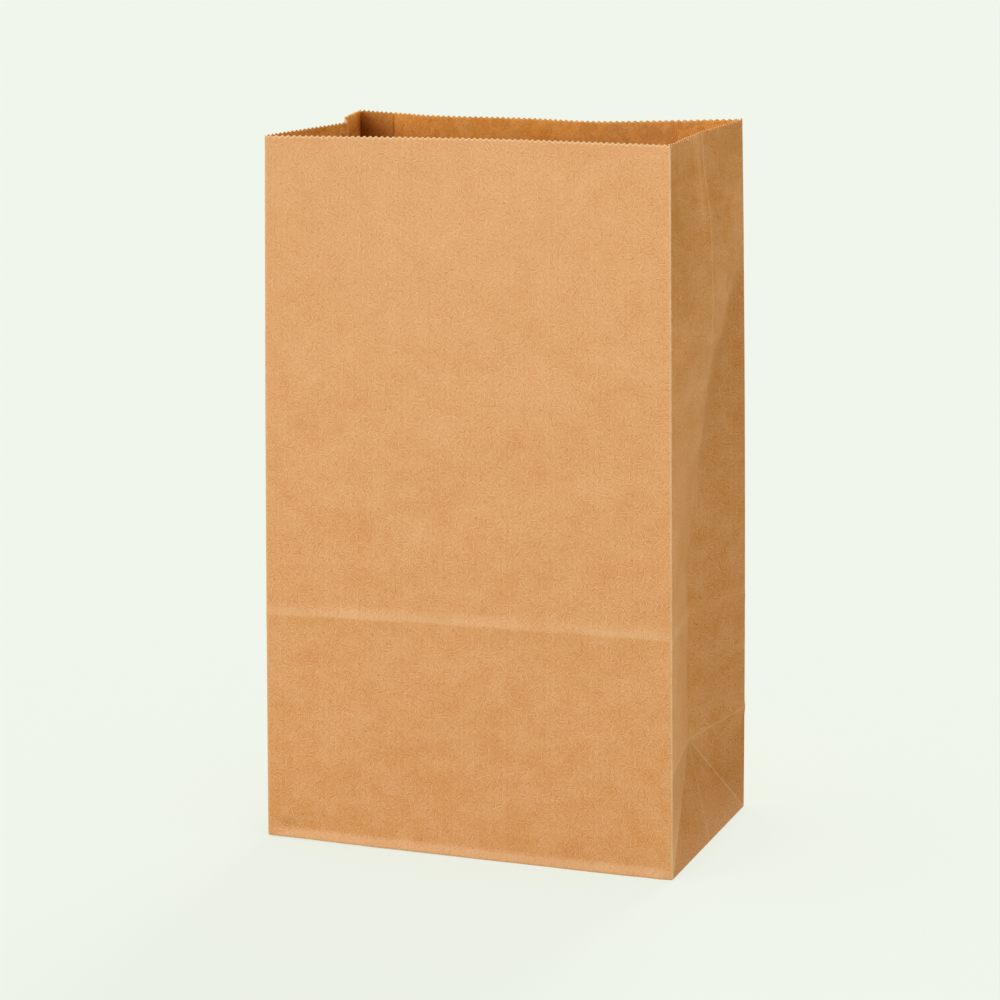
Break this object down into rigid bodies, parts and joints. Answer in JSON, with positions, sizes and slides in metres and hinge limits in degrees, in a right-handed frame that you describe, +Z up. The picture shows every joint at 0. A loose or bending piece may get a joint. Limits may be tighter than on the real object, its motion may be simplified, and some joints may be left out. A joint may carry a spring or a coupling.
{
  "type": "paper lunch bag",
  "caption": "Flat-bottomed brown kraft paper bag with side gussets and a toothed rim, standing open to hold a packed lunch.",
  "frame": {"origin": "centre of the base, on the surface the bag stands on", "axes": "+Z up towards the open mouth, +X across the front panel to its right, +Y from the front panel to the back panel"},
  "size_m": [0.15, 0.09, 0.251],
  "materials": {
    "kraft_paper": "matt unbleached kraft with visible fibres"
  },
  "bodies": {
    "root": {"paper_bag": "kraft_paper"}
  },
  "joints": []
}
